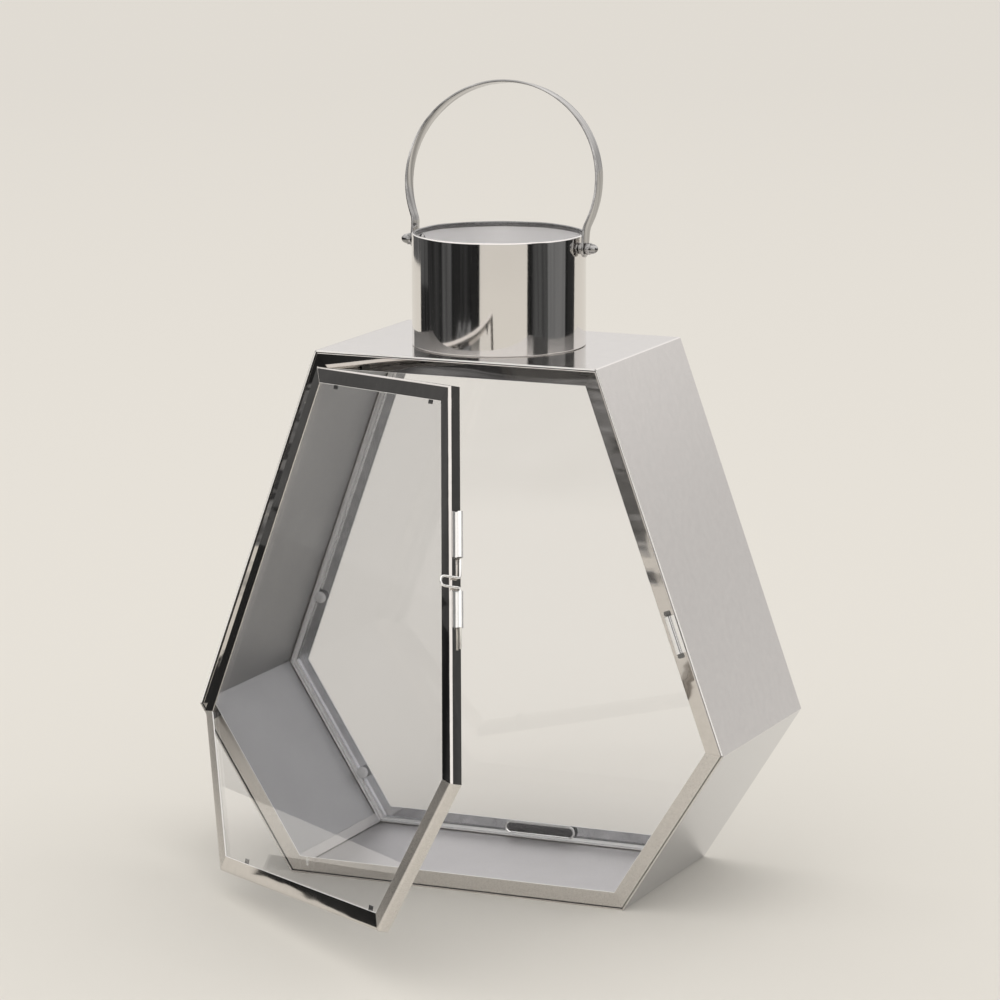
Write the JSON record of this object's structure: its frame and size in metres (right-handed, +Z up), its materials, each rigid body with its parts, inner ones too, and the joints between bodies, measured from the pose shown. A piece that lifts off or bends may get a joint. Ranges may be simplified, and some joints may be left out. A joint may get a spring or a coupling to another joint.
{
  "type": "candle lantern",
  "caption": "Glazed candle lantern with a six-sided polished steel body, a hinged glass door with a sliding latch, a round chimney and a carrying bail.",
  "frame": {"origin": "middle of the base's underside, on the surface that the lantern stands on", "axes": "+Z up, -Y out of the front, where the door is, +X to the right seen from the front"},
  "size_m": [0.3598, 0.3573, 0.5059],
  "materials": {
    "polished_steel": "mirror polished",
    "satin_steel": "satin",
    "clear_glass": "clear",
    "clear_plastic": "clear soft stop"
  },
  "bodies": {
    "root": {"top_plate": "polished_steel", "upper_wall_right": "polished_steel", "upper_wall_left": "polished_steel", "lower_wall_right": "polished_steel", "lower_wall_left": "polished_steel", "base_pan": "satin_steel", "front_frame_top": "polished_steel", "front_frame_upper_right": "polished_steel", "front_frame_lower_right": "polished_steel", "front_frame_bottom": "polished_steel", "front_frame_lower_left": "polished_steel", "front_frame_upper_left": "polished_steel", "rear_frame_top": "satin_steel", "rear_frame_upper_right": "satin_steel", "rear_frame_lower_right": "satin_steel", "rear_frame_bottom": "satin_steel", "rear_frame_lower_left": "satin_steel", "rear_frame_upper_left": "satin_steel", "rear_glass": "clear_glass", "glass_button_upper_right": "clear_plastic", "glass_button_lower_right": "clear_plastic", "glass_button_lower_left": "clear_plastic", "glass_button_upper_left": "clear_plastic", "rear_glass_clip": "polished_steel", "chimney": "polished_steel", "pivot_bolt_left": "polished_steel", "pivot_spacer_left": "polished_steel", "acorn_nut_left": "polished_steel", "pivot_bolt_right": "polished_steel", "pivot_spacer_right": "polished_steel", "acorn_nut_right": "polished_steel", "hinge_lug_lower": "polished_steel", "hinge_pin_lower": "polished_steel", "hinge_lug_upper": "polished_steel", "hinge_pin_upper": "polished_steel", "latch_keeper": "polished_steel"},
    "door": {"door_frame_top": "polished_steel", "door_frame_upper_right": "polished_steel", "door_frame_lower_right": "polished_steel", "door_frame_bottom": "polished_steel", "door_frame_lower_left": "polished_steel", "door_frame_upper_left": "polished_steel", "door_glass": "clear_glass", "door_glass_tab_top_left": "satin_steel", "door_glass_tab_top_right": "satin_steel", "door_glass_tab_bottom_right": "satin_steel", "door_glass_tab_bottom_left": "satin_steel", "hinge_barrel_lower_top": "polished_steel", "hinge_barrel_lower_bottom": "polished_steel", "hinge_barrel_upper_top": "polished_steel", "hinge_barrel_upper_bottom": "polished_steel", "latch_barrel_upper": "polished_steel", "latch_barrel_lower": "polished_steel"},
    "latch_bolt": {"latch_bolt": "polished_steel"},
    "handle": {"bail_strap": "polished_steel"}
  },
  "joints": [
    {"name": "door_hinge", "type": "hinge", "parent": "root", "child": "door", "pos_m": [-0.16974, -0.0743, 0.10131], "axis": [-0.3384, 0, -0.941], "range_deg": [-41.2, 65]},
    {"name": "latch_slide", "type": "slide", "parent": "door", "child": "latch_bolt", "axis": [-0.19, 0.4195, 0.8877], "range_m": [0, 0.0115]},
    {"name": "handle_pivot", "type": "hinge", "parent": "root", "child": "handle", "pos_m": [0, 0, 0.4036], "axis": [1, 0, 0], "range_deg": [-115, 135]}
  ]
}
